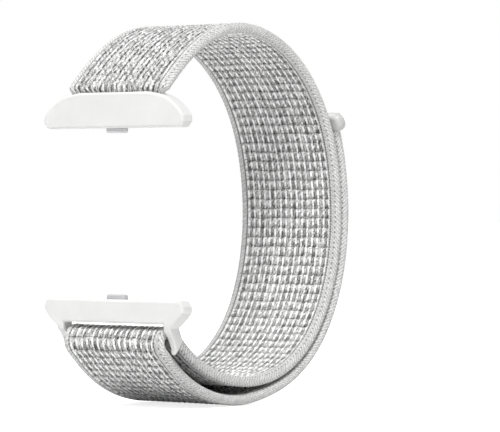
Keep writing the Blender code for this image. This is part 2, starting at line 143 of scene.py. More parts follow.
# Points on the four stretches of the strip's middle line
TURN_POINTS = 12
INNER_POINTS = 1600
FOLD_POINTS = 80
FLAP_POINTS = 1000

# Share of the way up to the bend at the upper lug where the turn before it leans over
TURN_HANDLE = 0.6

# Even step of the middle line and the length of its smoothing, in millimetres
LINE_STEP = 0.1
SMOOTHING = 1.3

# Weave, in millimetres
COLUMN_PITCH = 1.32
COLUMN_COUNT = 15
ROW_PITCH = 1.86
ROW_START = 0.55
YARN_PITCH = 0.44
STITCH_X = 10.35
STITCH_PITCH = 0.5
SELVEDGE_X = 10.62
TWILL_PITCH = 0.72
HEM_PITCH = 1.0
HEM_OFFSET = 1.05
STROKE_PITCH = 1.05
RELIEF = 0.34

# Tone of the weave: a factor before the shades are capped at white, and one after
PALENESS = 1.08
BRIGHTEST = 0.955

# Powers that turn a shade, as it is seen, into the red, green and blue of a material
TINT_POWERS = (2.2, 2.205, 2.225)

# Fineness of the materials' noise: cells a millimetre in the weave, and a metre elsewhere
FIBRES_ACROSS = 5.5
FIBRES_ALONG = 3.6
WEAVE_CLOUDS = 0.5
PLASTIC_CLOUDS = 160.0
PLASTIC_PORES = 5200.0
GRINDING_LINES = (300.0, 9000.0, 9000.0)

# Ground of the hook tape, in millimetres: its levels out from the strip's middle, and its grid
TAPE_BOTTOM = 0.45
TAPE_TOP = 0.72
TAPE_STEP = 0.5

# Hooks of the tape and the slope of the recess round it, in millimetres
HOOK_HEIGHT = 0.40
HOOK_PITCH = 0.80
HOOK_SIDE_MARGIN = 0.2
HOOK_ROOM_SLOPE = 0.15

# Sections of a hook: share of its height, shift along the strip and half of its thickness
HOOK_SECTIONS = ((-0.1, 0.0, 0.17), (0.50, 0.03, 0.13), (0.95, 0.16, 0.12), (0.75, 0.32, 0.07))

# Reach of the bends before and after their hinges, in millimetres along the strip
BEND_REACH = 3.5
ROOT_BEND_BEFORE = 0.9
ROOT_BEND_AFTER = 1.6

# Length over which the strip grows to its full section out of its slot, in millimetres
ROOT_GROWTH = 1.1

# Ends of the fold's piece: before the fold, and past halfway to the heel, in millimetres
FOLD_BEFORE = 8.0
FOLD_AFTER = 3.0

# Coil springs of the latches
COIL_TURNS = 5
COIL_STEPS = 20
WIRE_RADIUS = 0.00009
WIRE_SIDES = 8

# Mesh of the weave, in steps and millimetres
STEPS_PER_COLUMN = 9
MARGIN_STEPS = 7
ROUND_STEPS = 10
ALONG_STEP = 0.19

# Camera: its place and first aim in metres, its turns from there, and its lens in millimetres
CAMERA_PLACE = (0.41887, -0.45832, -0.0139)
CAMERA_AIM = (0.0, -0.0012, -0.0139)
CAMERA_TURN_RIGHT = math.radians(2.383)
CAMERA_TURN_DOWN = math.radians(0.384)
CAMERA_LENS = 246.9

# Floor, in metres and shares of white, and the strength of the even light from all round
FLOOR_REACH = 3.0
FLOOR_DROP = 0.0002
FLOOR_TONE = 0.90
FLOOR_GLOW = 0.78
WORLD_LIGHT = 0.25

# Lamps, all aimed at one point: name, place and side in metres, and power in watts
LAMP_AIM = (0.0, 0.025, -0.018)
LAMPS = (
    ("far", (-0.42, -0.10, 0.46), 0.30, 2.0),
    ("top", (0.27, -0.28, 0.52), 0.26, 4.4),
    ("low", (0.45, -0.52, -0.034), 0.03, 0.5),
    ("back", (-0.12, 0.62, 0.16), 0.26, 1.7),
)


def smooth_curve(points):
    """Dense points of a natural cubic spline through given points."""
    knots = np.array(points, dtype=float)
    spans = np.hypot(*np.diff(knots, axis=0).T)
    places = np.concatenate([[0.0], np.cumsum(spans)])
    count = len(knots)
    system = np.eye(count)
    target = np.zeros((count, 2))
    for i in range(1, count - 1):
        before = spans[i - 1]
        after = spans[i]
        system[i, i - 1] = before
        system[i, i] = 2 * (before + after)
        system[i, i + 1] = after
        target[i] = 6 * ((knots[i + 1] - knots[i]) / after - (knots[i] - knots[i - 1]) / before)
    bends = np.linalg.solve(system, target)
    samples = np.linspace(0.0, places[-1], CURVE_SAMPLES)
    index = np.clip(np.searchsorted(places, samples, side="right") - 1, 0, count - 2)
    span = spans[index][:, None]
    left = (places[index + 1] - samples)[:, None]
    right = (samples - places[index])[:, None]
    curve = (bends[index] * left ** 3 + bends[index + 1] * right ** 3) / (6 * span)
    curve += (knots[index] / span - bends[index] * span / 6) * left
    curve += (knots[index + 1] / span - bends[index + 1] * span / 6) * right
    return curve


def bar_centre():
    return np.array([SLOT_Y + BAR_Y, LOWER_SEAT_Z - BAR_DEPTH])


def root_bend():
    above = LUG_DEPTH + PIECE_GAP + STRAP_THICKNESS / 2
    return np.array([SLOT_Y + ROOT_BEND_Y, UPPER_SEAT_Z + above])


def distances(points):
    """Distance along a line of points, from its start to each of them."""
    steps = np.hypot(*np.diff(points, axis=0).T)
    return np.concatenate([[0.0], np.cumsum(steps)])


class Line:
    """A line of points (y, z) that is read by the distance along it, in the given unit."""

    def __init__(self, points, unit):
        self.points = points
        self.places = distances(points) / unit
        self.length = self.places[-1]
        slopes = np.gradient(points, self.places, axis=0)
        self.tangents = slopes / np.hypot(*slopes.T)[:, None]

    def read(self, table, place):
        return np.array([np.interp(place, self.places, column) for column in table.T]).T


class StrapPath(Line):
    """Middle of the inner layer and of the flap, by distance from the bend at the upper lug."""

    def __init__(self):
        away = np.array([math.sin(LOWER_LEAD_TILT), math.cos(LOWER_LEAD_TILT)])
        along = np.array([away[1], -away[0]])
        entry = bar_centre() + FOLD_RADIUS * away
        points = [root_bend()]
        points += [
            (LOOP_DEPTH * depth, LOOP_MIDDLE_Z + LOOP_HEIGHT * height)
            for depth, height in LOOP_SHARES
        ]
        points += [
            entry + LOWER_LEAD_LENGTH * share * along
            for share in (1.0, LOWER_LEAD_END_SHARE, 0.0)
        ]
        super().__init__(smooth_curve(points), 1.0)

    def tangent(self, place):
        return self.read(self.tangents, place)

    def outward(self, place):
        along = self.tangent(place)
        return np.array([-along[1], along[0]])

    def inner(self, place, offset=0.0):
        return self.read(self.points, place) + offset * self.outward(place)

    def flap(self, place, offset=0.0):
        start = WEDGE_START_SHARE * self.length
        share = (place - start) / (self.length - start)
        spare = WEDGE_SPARE * np.interp(share, *zip(*WEDGE_CURVE))
        return self.inner(place, LAYER_PITCH + spare + offset)


WEDGE_CURVE = smooth_curve(WEDGE_SHARES)
PATH = StrapPath()


def strip_points():
    """The strip's middle line: its root, the turn at the lug, the loop, the fold and the flap."""
    root_top = np.array([SLOT_Y + ROOT_Y, UPPER_SEAT_Z + LUG_DEPTH - ROOT_RECESS])
    root_foot = root_top - np.array([0.0, ROOT_LENGTH])
    start = root_bend()
    handle = root_top + np.array([0.0, (start[1] - root_top[1]) * TURN_HANDLE])
    turn = [
        (1 - t) ** 2 * root_top + 2 * t * (1 - t) * handle + t * t * start
        for t in np.linspace(0.0, 1.0, TURN_POINTS)[:-1]
    ]
    inner = [PATH.inner(place) for place in np.linspace(0.0, PATH.length, INNER_POINTS)]
    middle = bar_centre()
    arm = inner[-1] - middle
    across = np.array([-arm[1], arm[0]])
    fold = [
        middle + arm * math.cos(angle) + across * math.sin(angle)
        for angle in np.linspace(0.0, math.pi, FOLD_POINTS)[1:-1]
    ]
    end = FLAP_END_SHARE * PATH.length - PIECE_GAP - END_BAR_LAP
    flap = [PATH.flap(place) for place in np.linspace(PATH.length, end, FLAP_POINTS)]
    return np.array([root_foot, *turn, *inner, *fold, *flap])


def even_line(points):
    """The same line in even steps, smoothed so that its stretches run into each other."""
    places = distances(points) / MM
    even = np.arange(0.0, places[-1], LINE_STEP)
    line = np.array([np.interp(even, places, column) for column in points.T]).T
    kernel = np.hanning(round(SMOOTHING / LINE_STEP))[1:-1]
    kernel /= kernel.sum()
    half = len(kernel) // 2
    for column in range(2):
        padded = np.pad(line[:, column], half, mode="reflect", reflect_type="odd")
        line[:, column] = np.convolve(padded, kernel, mode="valid")
    return line


class Ribbon(Line):
    """The whole strip's middle line, from the slot in the upper lug to the moulded end.

    Face A is the outside of the single layer and the inside of the flap. Face B faces the wrist
    and is the flap's outside. Distances along it are in millimetres from the upper lug.
    """

    def __init__(self):
        super().__init__(even_line(strip_points()), MM)

    def point(self, place):
        return self.read(self.points, place)

    def normal(self, place):
        along = self.read(self.tangents, place)
        along /= np.hypot(*along.T)[:, None]
        return np.stack([-along[:, 1], along[:, 0]], axis=1)

    def nearest(self, target, low=0.0, high=None):
        """Distance along the ribbon of the point closest to (y, z)."""
        inside = (self.places >= low) & (self.places <= (high or self.length))
        gaps = np.hypot(*(self.points - np.array(target)).T)
        gaps[~inside] = np.inf
        return float(self.places[int(np.argmin(gaps))])


RIBBON = Ribbon()
WEAVE_HALF = COLUMN_COUNT * COLUMN_PITCH / 2
FOLD_PLACE = RIBBON.nearest(bar_centre() - (FOLD_RADIUS / math.sqrt(2)) * np.array([1.0, 1.0]))


def inner_place(share):
    """Distance along the ribbon of a place on the inner layer."""
    return RIBBON.nearest(PATH.inner(share * PATH.length), 0.0, FOLD_PLACE)


def flap_place(share):
    return RIBBON.nearest(PATH.flap(share * PATH.length), FOLD_PLACE)


HOOK_START = flap_place(TIP_PEEL_SHARE) + HOOK_END_MARGIN / MM
HOOK_END = flap_place(FLAP_END_SHARE) - HOOK_END_MARGIN / MM


class Signal:
    """A number in a material, which takes the same arithmetic as a numpy array."""

    def __init__(self, nodes, socket):
        self.nodes = nodes
        self.socket = socket

    def math(self, operation, first, second=0.0, clamp=False):
        node = self.nodes.new("ShaderNodeMath")
        node.operation = operation
        node.use_clamp = clamp
        for place, value in zip(node.inputs, (first, second)):
            if isinstance(value, Signal):
                self.nodes.id_data.links.new(value.socket, place)
            else:
                place.default_value = value
        return Signal(self.nodes, node.outputs[0])

    def __add__(self, other):
        return self.math("ADD", self, other)

    def __sub__(self, other):
        return self.math("SUBTRACT", self, other)

    def __rsub__(self, other):
        return self.math("SUBTRACT", other, self)

    def __mul__(self, other):
        return self.math("MULTIPLY", self, other)

    def __truediv__(self, other):
        return self.math("DIVIDE", self, other)

    def __abs__(self):
        return self.math("ABSOLUTE", self)

    def __pow__(self, power):
        return self.math("POWER", self, power)

    __radd__ = __add__
    __rmul__ = __mul__


def floor(value):
    return value.math("FLOOR", value) if isinstance(value, Signal) else np.floor(value)


def sine(value):
    return value.math("SINE", value) if isinstance(value, Signal) else np.sin(value)


def clamp(value):
    if isinstance(value, Signal):
        return value.math("ADD", value, 0.0, clamp=True)
    return np.clip(value, 0.0, 1.0)


def larger(first, second):
    if isinstance(first, Signal):
        return first.math("MAXIMUM", first, second)
    return np.maximum(first, second)


def bump(distance, width):
    """1 at distance 0, falling smoothly to 0 at twice the width."""
    share = clamp(1.0 - abs(distance) / (2.0 * width))
    return share * share * (3.0 - 2.0 * share)


def rise(value, low, high):
    share = clamp((value - low) / (high - low))
    return share * share * (3.0 - 2.0 * share)


def blend(share, first, second):
    return first + (second - first) * share


def chance(row, column):
    """A steady scatter of values from 0 to 1 over the cells of the weave."""
    turn = sine(row * 12.99 + column * 78.23) * 437.58
    return turn - floor(turn)


def wrist_weave(share, from_column, sunk, luck):
    """Height, shade and cord of the side towards the wrist, which is also the flap's outside.

    Each row swells at its start and sinks towards its end. Thin white cords run along between
    the columns, and a thin white bar crosses the start of each row. Every second column lies
    deeper and runs on through the bars. The shade is painted lighter on each row's swelling start
    and on the cords there, and painted shade darkens the deeper columns and the grooves beside
    the cords.
    """
    from_cord = COLUMN_PITCH / 2 - abs(from_column)
    swell = rise(share, 0.0, 0.14) * (1.0 - 0.85 * rise(share, 0.30, 0.96))
    cord = bump(from_cord, 0.13 + 0.06 * swell)
    bar = bump(share - 0.09, 0.05 + 0.02 * luck)
    bar = bar * (1.0 - sunk * bump(from_column, 0.26))
    beside = bump(from_cord - 0.36, 0.09) * rise(share, 0.10, 0.35)
    shaded_valley = sunk * bump(from_column, 0.28) * (0.25 + 0.75 * rise(share, 0.30, 0.65))
    height = 0.10 + 0.30 * swell - 0.12 * shaded_valley - 0.10 * beside
    height = larger(height, cord * (0.46 + 0.54 * swell))
    height = larger(height, bar * 0.60)

    # Painted light on each row's swelling start, and painted shade in the deeper columns and in the
    # grooves beside the cords
    shade = 0.57 + 0.11 * swell - 0.14 * shaded_valley - 0.11 * beside + 0.08 * (luck - 0.5)
    shade = blend(bar, shade, 0.76)
    # Painted highlight on the cords at the swelling start of each row, fading towards its end
    painted_highlight = rise(share, 0.0, 0.10) * (1.0 - rise(share, 0.50, 0.90))
    cord_shade = 0.73 + 0.21 * painted_highlight
    return height, blend(rise(cord, 0.05, 0.55), shade, cord_shade), cord


def outer_weave(share, from_column, sunk, luck):
    """Height and shade of the strap's outside, which is also the flap's inside.

    It is mostly white ridges. Every second column is a thin groove that wanders and breaks,
    and the others hold one short pit a row. Painted shade darkens the grooves, the pits and the
    gaps between rows.
    """
    wander = 0.30 * (luck - 0.5) + 0.10 * sine(6.28 * share + 9.0 * luck)
    middle = 0.30 + 0.35 * luck
    pit = bump(share - middle, 0.16 + 0.10 * luck)
    streak = bump(share - middle, 0.26 + 0.22 * luck) * (0.65 + 0.35 * luck)
    depth = blend(sunk, 0.85 * pit, streak)
    shaded_groove = bump(from_column + wander, 0.14 + 0.05 * sunk) * depth
    ridge = bump(COLUMN_PITCH / 2 - abs(from_column), 0.34)
    shaded_row_gap = bump(share - 0.98, 0.06) * 0.5
    height = 0.55 + 0.35 * ridge - 0.50 * shaded_groove - 0.25 * shaded_row_gap
    # Painted shade in the grooves, the pits and the gaps between rows
    shade = 0.645 + 0.10 * ridge - (0.36 + 0.06 * sunk) * shaded_groove - 0.12 * shaded_row_gap
    return height, shade + 0.08 * (luck - 0.5)


def weave(x, along, wrist_side):
    """Height and shade, both from 0 to 1, of the weave at a place in millimetres."""
    column = floor(x / COLUMN_PITCH + 0.5)
    from_column = x - column * COLUMN_PITCH
    sunk = (column / 2 - floor(column / 2)) * 2.0
    row_place = (along + ROW_START) / ROW_PITCH + 0.04 * sine(0.9 * column + 0.2 * along)
    row = floor(row_place)
    share = row_place - row
    luck = chance(row, column)
    inner_height, inner_shade, cord = wrist_weave(share, from_column, sunk, luck)
    outer_height, outer_shade = outer_weave(share, from_column, sunk, luck)

    # Gaps between the fine yarns, dipped in height and darkened with painted shade, darkest where
    # one row ends and the next begins
    yarn = x / YARN_PITCH
    gap = 0.5 + 0.5 * sine(2 * math.pi * (yarn + 2.2 * share))
    shaded_seam = bump(share - 0.96, 0.05) * (1.0 - 0.6 * cord)
    top = bump(share - 0.09, 0.07)
    inner_shade = inner_shade * (1.0 - shaded_seam * (0.02 + 0.46 * gap) - 0.26 * top * gap)
    inner_height = inner_height * (1.0 - shaded_seam * (0.05 + 0.30 * gap))
    height = blend(wrist_side, outer_height, inner_height)
    shade = blend(wrist_side, outer_shade, inner_shade)

    # Short dark strokes, where a fine yarn dips under its neighbours: a dip in height, darkened with
    # painted shade
    thread = floor(yarn)
    beside = yarn - thread
    dip = along / STROKE_PITCH + 0.37 * thread + 0.45 * beside
    turn = floor(dip)
    fate = chance(turn, thread + 40.0)
    stroke = bump(beside - 0.5, 0.20) * bump(dip - turn - 0.5, 0.15 + 0.12 * fate)
    stroke = stroke * rise(fate, 0.1, 0.8) * blend(wrist_side, 0.46, 0.18)
    return height - 0.5 * stroke, shade - stroke


def ring_samples():
    """Points round the strip's section: (x, offset, across, face), in millimetres.

    The face value is 1 on face A, 0 on face B and a half on the selvedges. The across value runs
    on round the selvedges, from face A to face B.
    """
    half_width = STRAP_WIDTH / MM / 2
    radius = STRAP_THICKNESS / MM / 2
    flat = half_width - radius
    field = np.linspace(-WEAVE_HALF, WEAVE_HALF, COLUMN_COUNT * STEPS_PER_COLUMN + 1)
    left = np.linspace(-flat, -WEAVE_HALF, MARGIN_STEPS + 1)[:-1]
    face = np.concatenate([left, field, -left[::-1]])
    rows = []
    for side in (1, -1):
        rows += [(x, side * radius, x, (1 + side) / 2) for x in face[::side]]
        for step in range(1, ROUND_STEPS):
            angle = math.pi * step / ROUND_STEPS
            from_face_a = angle if side > 0 else math.pi - angle
            rows.append((side * (flat + radius * math.sin(angle)), side * radius * math.cos(angle),
                         side * (flat + radius * from_face_a), 0.5))
    return np.array(rows), len(face)


RING, FACE_COUNT = ring_samples()


def hook_room(x, places):
    """1 where the weave of the flap's inside makes room for the hook tape, and 0 elsewhere."""
    half = HOOK_WIDTH / MM / 2
    within = 1.0 - rise(np.abs(x), half, half + HOOK_ROOM_SLOPE)
    run = rise(places, HOOK_START - HOOK_ROOM_SLOPE, HOOK_START)
    run = run * (1.0 - rise(places, HOOK_END, HOOK_END + HOOK_ROOM_SLOPE))
    return run[:, None] * within[None, :]


def pressed(places):
    """Width and thickness in shares: the strip is pressed in the slot of the upper lug."""
    share = rise(places, ROOT_LENGTH / MM, ROOT_LENGTH / MM + ROOT_GROWTH)
    width = blend(share, ROOT_WIDTH / STRAP_WIDTH, 1.0)
    return width, blend(share, ROOT_THICKNESS / STRAP_THICKNESS, 1.0)


def surface_depth(places):
    """How far out of the strip's middle each point of the ring lies, in millimetres."""
    x, offset, across, face = RING.T
    height = weave(x[None, :], places[:, None], 1.0 - face[None, :])[0]
    border = rise(np.abs(across), WEAVE_HALF - 0.05, WEAVE_HALF + 0.2)
    border_height = 1.0 - 0.85 * bump(np.abs(across) - STITCH_X, 0.16)
    height = blend(border, height, border_height)
    sink = RELIEF * (1.0 - height) * np.where(face == 0.5, 0.0, 1.0)
    room = hook_room(x, places) * face * (STRAP_THICKNESS / MM / 2 - TAPE_BOTTOM)
    return offset - np.sign(offset) * np.maximum(sink, room)


def tube_faces(count):
    """Faces of a closed tube of this many rings: the sides first, then both ends."""
    ring = len(RING)
    rows = np.arange(count - 1)[:, None] * ring
    this = np.arange(ring)
    after = (this + 1) % ring
    sides = np.stack([rows + this, rows + after, rows + ring + after, rows + ring + this], axis=2)
    back = 2 * FACE_COUNT + ROUND_STEPS - 2
    opposite = np.arange(back, back - FACE_COUNT, -1)
    pair = np.arange(FACE_COUNT - 1)
    end = np.stack([pair, opposite[pair], opposite[pair + 1], pair + 1], axis=1).tolist()
    for first in (FACE_COUNT - 1, back):
        end.append([(first + step) % ring for step in range(ROUND_STEPS + 1)])
    far = (count - 1) * ring
    faces = sides.reshape(-1, 4).tolist()
    faces += [list(reversed(corners)) for corners in end]
    faces += [[far + corner for corner in corners] for corners in end]
    return faces


def ribbon_mesh(name, start, end):
    """A closed length of the ribbon with its weave, from start to end in millimetres."""
    count = max(3, int(round((end - start) / ALONG_STEP)) + 1)
    places = np.linspace(start, end, count)
    x, _, across, face = RING.T
    width, thickness = pressed(places)
    centres = RIBBON.point(places)
    normals = RIBBON.normal(places)
    reach = surface_depth(places) * thickness[:, None] * MM
    xs = x * width[:, None] * MM
    ys = centres[:, 0, None] + normals[:, 0, None] * reach
    zs = centres[:, 1, None] + normals[:, 1, None] * reach
    points = np.stack([xs, ys, zs], axis=2).reshape(-1, 3)
    mesh = bpy.data.meshes.new(name)
    mesh.from_pydata(points.tolist(), [], tube_faces(count))
    mesh.validate()
    smooth = np.ones(len(mesh.polygons), dtype=bool)
    smooth[(count - 1) * len(x):] = False
    mesh.polygons.foreach_set("use_smooth", smooth)
    for label, table in (
        ("across", across[None, :]),
        ("along", places[:, None]),
        ("wrist_side", 1.0 - face[None, :]),
    ):
        values = np.broadcast_to(table, xs.shape).astype(np.float32)
        mesh.attributes.new(label, "FLOAT", "POINT").data.foreach_set("value", values.ravel())
    return mesh


class Nodes:
    """Short ways to build a material's nodes."""

    def __init__(self, name):
        self.material = bpy.data.materials.new(name)
        self.material.use_nodes = True
        self.tree = self.material.node_tree
        self.shader = self.tree.nodes["Principled BSDF"]

    def add(self, kind, **values):
        node = self.tree.nodes.new(kind)
        for key, value in values.items():
            setattr(node, key, value)
        return node

    def feed(self, socket, value):
        if isinstance(value, Signal):
            value = value.socket
        if isinstance(value, bpy.types.NodeSocket):
            self.tree.links.new(value, socket)
        else:
            socket.default_value = value

    def shade(self, values):
        """Feed the shader's sockets, each by its name."""
        for name, value in values.items():
            self.feed(self.shader.inputs[name], value)

    def signal(self, socket):
        return Signal(self.tree.nodes, socket)

    def attribute(self, name):
        return self.signal(self.add("ShaderNodeAttribute", attribute_name=name).outputs["Fac"])

    def vector(self, x, y):
        node = self.add("ShaderNodeCombineXYZ")
        self.feed(node.inputs["X"], x)
        self.feed(node.inputs["Y"], y)
        return node.outputs[0]

    def noise(self, vector, scale, detail, roughness):
        node = self.add("ShaderNodeTexNoise")
        self.feed(node.inputs["Vector"], vector)
        node.inputs["Scale"].default_value = scale
        node.inputs["Detail"].default_value = detail
        node.inputs["Roughness"].default_value = roughness
        return self.signal(node.outputs["Fac"])

    def ramp(self, value, low, high):
        """The low colour up to 0.3, the high one from 0.7, and a blend between them."""
        node = self.add("ShaderNodeValToRGB")
        self.feed(node.inputs[0], value)
        for element, place, color in zip(node.color_ramp.elements, (0.3, 0.7), (low, high)):
            element.position = place
            element.color = (*color, 1.0)
        return node.outputs[0]

    def range(self, value, low, high):
        node = self.add("ShaderNodeMapRange")
        self.feed(node.inputs["Value"], value)
        node.inputs["To Min"].default_value = low
        node.inputs["To Max"].default_value = high
        return node.outputs[0]

    def bump(self, height, strength, distance):
        node = self.add("ShaderNodeBump")
        node.inputs["Strength"].default_value = strength
        node.inputs["Distance"].default_value = distance
        self.feed(node.inputs["Height"], height)
        return node.outputs[0]


def stitch_shade(along, width, speck):
    """Shade of the stitched column beside each selvedge: dark holes, one for every weft pick."""
    hole = 0.75 + 0.25 * sine(2 * math.pi * (along / STITCH_PITCH))
    stitch = bump(width - STITCH_X, 0.18) * hole
    return 0.86 + 0.12 * speck - 0.60 * stitch


def selvedge_shade(along, width, fibre, speck):
    """Shade and herringbone of the selvedge, mirrored about the middle of the strip's side."""
    radius = STRAP_THICKNESS / MM / 2
    side_middle = STRAP_WIDTH / MM / 2 - radius + radius * math.pi / 2
    from_middle = width - side_middle
    slant = (along + abs(from_middle)) / TWILL_PITCH
    twill = 0.5 + 0.5 * sine(2 * math.pi * slant)
    hem = 0.5 + 0.5 * sine(2 * math.pi * along / HEM_PITCH)
    hem = bump(abs(from_middle) - HEM_OFFSET, 0.13) * rise(hem, 0.55, 0.95)
    return 0.73 + 0.15 * (twill - 0.5) + 0.42 * (fibre - 0.5) + 0.08 * speck - 0.26 * hem, twill


def fabric_material():
    """The weave's own formula in colour, with fibres, stitches and the selvedges' herringbone."""
    nodes = Nodes("woven_fabric")
    across = nodes.attribute("across")
    along = nodes.attribute("along")
    width = abs(across)

    # Fibres, faint clouds and a speck of its own for each stitch of each yarn
    fibre = nodes.noise(nodes.vector(across * FIBRES_ACROSS, along * FIBRES_ALONG), 1.0, 1.0, 0.5)
    cloud = nodes.vector(across * WEAVE_CLOUDS, along * WEAVE_CLOUDS)
    cloud = nodes.noise(cloud, 1.0, 2.0, 0.5)
    yarn = floor(across / YARN_PITCH)
    twist = across / YARN_PITCH - yarn
    pick = floor(along / STITCH_PITCH + 0.37 * yarn + 0.6 * twist)
    speck = chance(pick, yarn) - 0.5

    shade = weave(across, along, nodes.attribute("wrist_side"))[1]
    shade = shade + 0.30 * speck + 0.95 * (fibre - 0.5) + 0.05 * (cloud - 0.5)
    border = rise(width, WEAVE_HALF + 0.05, WEAVE_HALF + 0.2)
    shade = blend(border, shade, stitch_shade(along, width, speck))
    edge = rise(width, SELVEDGE_X - 0.15, SELVEDGE_X + 0.05)
    edge_shade, twill = selvedge_shade(along, width, fibre, speck)
    shade = clamp(blend(edge, shade, edge_shade) * PALENESS) * BRIGHTEST

    tint = nodes.add("ShaderNodeCombineColor")
    for socket, power in zip(tint.inputs, TINT_POWERS):
        nodes.feed(socket, shade ** power)
    grain = speck + 2.0 * fibre + 0.9 * edge * twill
    nodes.shade({
        "Base Color": tint.outputs[0],
        "Roughness": nodes.range(fibre, 0.78, 0.95),
        "Sheen Weight": 0.06,
        "Sheen Roughness": 0.5,
        "Specular IOR Level": 0.3,
        "Normal": nodes.bump(grain, 0.7, 0.00005),
    })
    return nodes.material


def plastic_material(name, color, dark, roughness, grain):
    """Moulded plastic: an even colour with faint clouds, fine grain and a soft gloss."""
    nodes = Nodes(name)
    place = nodes.add("ShaderNodeTexCoord").outputs["Object"]
    cloud = nodes.noise(place, PLASTIC_CLOUDS, 3.0, 0.6)
    pores = nodes.noise(place, PLASTIC_PORES, 3.0, 0.65)
    nodes.shade({
        "Base Color": nodes.ramp(cloud, dark, color),
        "Roughness": nodes.range(pores, roughness - 0.06, roughness + 0.1),
        "Specular IOR Level": 0.5,
        "Normal": nodes.bump(pores, grain, 0.00002),
    })
    return nodes.material


def steel_material():
    """Fine-ground steel with its grinding lines along X."""
    nodes = Nodes("ground_steel")
    place = nodes.add("ShaderNodeTexCoord").outputs["Object"]
    turned = nodes.add("ShaderNodeMapping")
    nodes.feed(turned.inputs["Vector"], place)
    turned.inputs["Scale"].default_value = GRINDING_LINES
    lines = nodes.noise(turned.outputs[0], 1.0, 3.0, 0.6)
    nodes.shade({
        "Base Color": nodes.ramp(lines, (0.48, 0.48, 0.49), (0.64, 0.64, 0.65)),
        "Metallic": 1.0,
        "Roughness": nodes.range(lines, 0.24, 0.42),
        "Normal": nodes.bump(lines, 0.25, 0.00001),
    })
    return nodes.material


FABRIC = fabric_material()
LUG_PLASTIC = plastic_material("lug_plastic", (0.68, 0.68, 0.675), (0.64, 0.64, 0.635), 0.38, 0.25)
END_PLASTIC = plastic_material("end_plastic", (0.52, 0.52, 0.515), (0.48, 0.48, 0.475), 0.42, 0.2)
HOOK_TAPE = plastic_material("hook_tape", (0.78, 0.78, 0.77), (0.72, 0.72, 0.71), 0.45, 0.3)
HOOK_GROUND = plastic_material("hook_ground", (0.46, 0.46, 0.455), (0.38, 0.38, 0.375), 0.8, 0.9)
STEEL = steel_material()


def new_object(name, data):
    made = bpy.data.objects.new(name, data)
    bpy.context.scene.collection.objects.link(made)
    return made


def bend_reach(hinge):
    """From where to where the strip bends at a hinge, by distance along it."""
    return hinge - BEND_REACH, hinge + BEND_REACH


def point_on(place):
    y, z = RIBBON.point(np.array([place]))[0]
    return (0.0, float(y), float(z))


def fabric_piece(name, start, end, bodies, turn, replaces):
    """One length of the ribbon on its body, or one across the joint of two bodies, left where it
    lies.
    """
    mesh = ribbon_mesh(name, start, end)
    mesh.materials.append(FABRIC)
    piece = new_object(name, mesh)
    if len(bodies) == 1:
        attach(piece, bodies[0])
    else:
        before, after = turn
        point_on(before)
        point_on(after)
        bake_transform(piece)
    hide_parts(*replaces)


def make_strip():
    """The whole strip in nine pieces, each from the end of the one before."""
    bend = RIBBON.nearest(root_bend())
    front = inner_place(FRONT_BEND_SHARE)
    shoulder = inner_place(SHOULDER_BEND_SHARE)
    heel = flap_place(HEEL_PEEL_SHARE)
    back = flap_place(BACK_PEEL_SHARE)
    tip = flap_place(TIP_PEEL_SHARE)
    start = 0.0
    for name, end, bodies, turn, replaces in (
        ("weave_root", (bend + front) / 2, ("upper_lug", "strap_front"),
         (bend - ROOT_BEND_BEFORE, bend + ROOT_BEND_AFTER), ("strap_root", "strap_front")),
        ("weave_front", (front + shoulder) / 2, ("strap_front", "strap_top"),
         bend_reach(front), ("strap_front", "strap_top")),
        ("weave_shoulder", (shoulder + inner_place(BACK_SPLIT_SHARE)) / 2,
         ("strap_top", "strap_loop"), bend_reach(shoulder), ("strap_top", "strap_shoulder")),
        ("weave_back", inner_place(BACK_PEEL_SHARE), ("strap_loop",), None,
         ("strap_shoulder", "strap_back")),
        ("weave_underside", FOLD_PLACE - FOLD_BEFORE, ("strap_loop",), None,
         ("strap_underside",)),
        ("weave_fold", (FOLD_PLACE + heel) / 2 + FOLD_AFTER, ("strap_loop",), None,
         ("lower_fold", "flap_underside")),
        ("weave_heel", (heel + back) / 2, ("strap_loop", "flap_heel"), bend_reach(heel),
         ("flap_underside", "flap_heel")),
        ("weave_flap_back", (back + tip) / 2, ("flap_heel", "flap_back"), bend_reach(back),
         ("flap_heel", "flap_back")),
        ("weave_tip", RIBBON.length, ("flap_back", "flap_tip"), bend_reach(tip),
         ("flap_back", "flap_tip")),
    ):
        fabric_piece(name, start, end, bodies, turn, replaces)
        start = end


def mesh_object(name, mesh, finish):
    bmesh.ops.recalc_face_normals(mesh, faces=mesh.faces)
    data = bpy.data.meshes.new(name)
    mesh.to_mesh(data)
    mesh.free()
    data.materials.append(finish)
    return new_object(name, data)


def skin(mesh, rings, smooth=False, finish=0):
    """Join each ring of corners to the next, and close both ends."""
    for lower, upper in zip(rings, rings[1:]):
        for i in range(len(lower)):
            j = (i + 1) % len(lower)
            side = mesh.faces.new((lower[i], lower[j], upper[j], upper[i]))
            side.smooth = smooth
            side.material_index = finish
    mesh.faces.new(rings[0]).material_index = finish
    mesh.faces.new(rings[-1]).material_index = finish


def rounded_bar(length, height, thickness, corner, edge):
    """A bar along X, round-ended in its front view (X, Z), with round edges towards +Y and -Y."""
    outline = []
    for quarter, (across, up) in enumerate(((1, 1), (-1, 1), (-1, -1), (1, -1))):
        for step in range(END_BAR_STEPS + 1):
            angle = math.pi / 2 * (quarter + step / END_BAR_STEPS)
            middle = (across * (length / 2 - corner), up * (height / 2 - corner))
            outline.append((*middle, math.cos(angle), math.sin(angle)))
    mesh = bmesh.new()
    rings = []
    for side in (-1, 1):
        for step in range(END_BAR_STEPS + 1):
            turn = math.pi / 2 * step / END_BAR_STEPS
            turn = turn - math.pi / 2 if side < 0 else turn
            radius = corner - edge * (1 - math.cos(turn))
            level = side * (thickness / 2 - edge) + edge * math.sin(turn)
            rings.append([
                mesh.verts.new((x + radius * c, level, z + radius * s)) for x, z, c, s in outline
            ])
    skin(mesh, rings, smooth=True)
    return mesh


